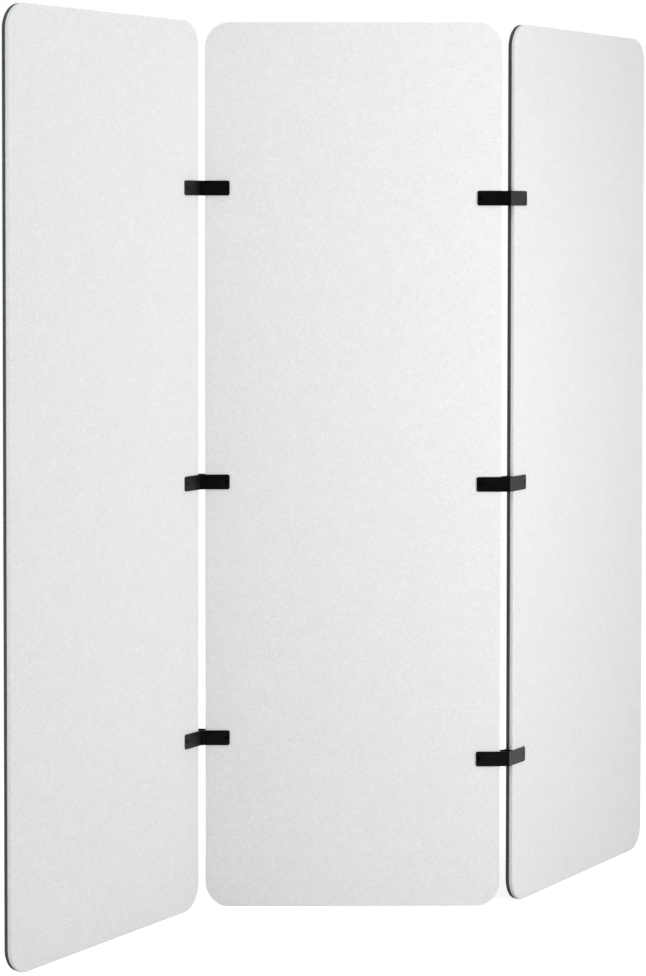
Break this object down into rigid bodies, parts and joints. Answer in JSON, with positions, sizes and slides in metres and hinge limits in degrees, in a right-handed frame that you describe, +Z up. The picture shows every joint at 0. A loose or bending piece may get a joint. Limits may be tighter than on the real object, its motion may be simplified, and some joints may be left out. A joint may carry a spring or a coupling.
{
  "type": "folding room screen",
  "caption": "Free-standing folding room screen: tall felt panels with round corners, joined in a zigzag by black clip hinges that let each wing fold flat.",
  "frame": {"origin": "on the floor under the middle of the centre panel, halfway through its thickness", "axes": "+Z up along the panels' height, +X along the centre panel's width to the viewer's right, -Y out of its pale front face"},
  "size_m": [1.3088, 1.0378, 1.8],
  "materials": {
    "pale_felt": "matte",
    "dark_felt": "matte",
    "black_coating": "satin",
    "black_steel": "satin"
  },
  "bodies": {
    "centre_panel": {"centre_front_board": "pale_felt", "centre_back_board": "dark_felt", "left_lower_hinge_centre_clip": "black_coating", "left_lower_hinge_centre_sleeve_nut": "black_steel", "left_lower_hinge_centre_screw": "black_steel", "left_middle_hinge_centre_clip": "black_coating", "left_middle_hinge_centre_sleeve_nut": "black_steel", "left_middle_hinge_centre_screw": "black_steel", "left_upper_hinge_centre_clip": "black_coating", "left_upper_hinge_centre_sleeve_nut": "black_steel", "left_upper_hinge_centre_screw": "black_steel", "left_lower_hinge_pin": "black_steel", "left_middle_hinge_pin": "black_steel", "left_upper_hinge_pin": "black_steel", "right_lower_hinge_centre_clip": "black_coating", "right_lower_hinge_centre_sleeve_nut": "black_steel", "right_lower_hinge_centre_screw": "black_steel", "right_middle_hinge_centre_clip": "black_coating", "right_middle_hinge_centre_sleeve_nut": "black_steel", "right_middle_hinge_centre_screw": "black_steel", "right_upper_hinge_centre_clip": "black_coating", "right_upper_hinge_centre_sleeve_nut": "black_steel", "right_upper_hinge_centre_screw": "black_steel", "right_lower_hinge_pin": "black_steel", "right_middle_hinge_pin": "black_steel", "right_upper_hinge_pin": "black_steel"},
    "left_wing": {"left_front_board": "pale_felt", "left_back_board": "dark_felt", "left_lower_hinge_wing_clip": "black_coating", "left_lower_hinge_wing_sleeve_nut": "black_steel", "left_lower_hinge_wing_screw": "black_steel", "left_middle_hinge_wing_clip": "black_coating", "left_middle_hinge_wing_sleeve_nut": "black_steel", "left_middle_hinge_wing_screw": "black_steel", "left_upper_hinge_wing_clip": "black_coating", "left_upper_hinge_wing_sleeve_nut": "black_steel", "left_upper_hinge_wing_screw": "black_steel"},
    "right_wing": {"right_front_board": "pale_felt", "right_back_board": "dark_felt", "right_lower_hinge_wing_clip": "black_coating", "right_lower_hinge_wing_sleeve_nut": "black_steel", "right_lower_hinge_wing_screw": "black_steel", "right_middle_hinge_wing_clip": "black_coating", "right_middle_hinge_wing_sleeve_nut": "black_steel", "right_middle_hinge_wing_screw": "black_steel", "right_upper_hinge_wing_clip": "black_coating", "right_upper_hinge_wing_sleeve_nut": "black_steel", "right_upper_hinge_wing_screw": "black_steel"}
  },
  "joints": [
    {"name": "left_wing_fold", "type": "hinge", "parent": "centre_panel", "child": "left_wing", "pos_m": [-0.3074, -0.01115, 0], "axis": [0, 0, 1], "range_deg": [0, 123]},
    {"name": "right_wing_fold", "type": "hinge", "parent": "centre_panel", "child": "right_wing", "pos_m": [0.3074, 0.01115, 0], "axis": [0, 0, 1], "range_deg": [0, 123]}
  ]
}
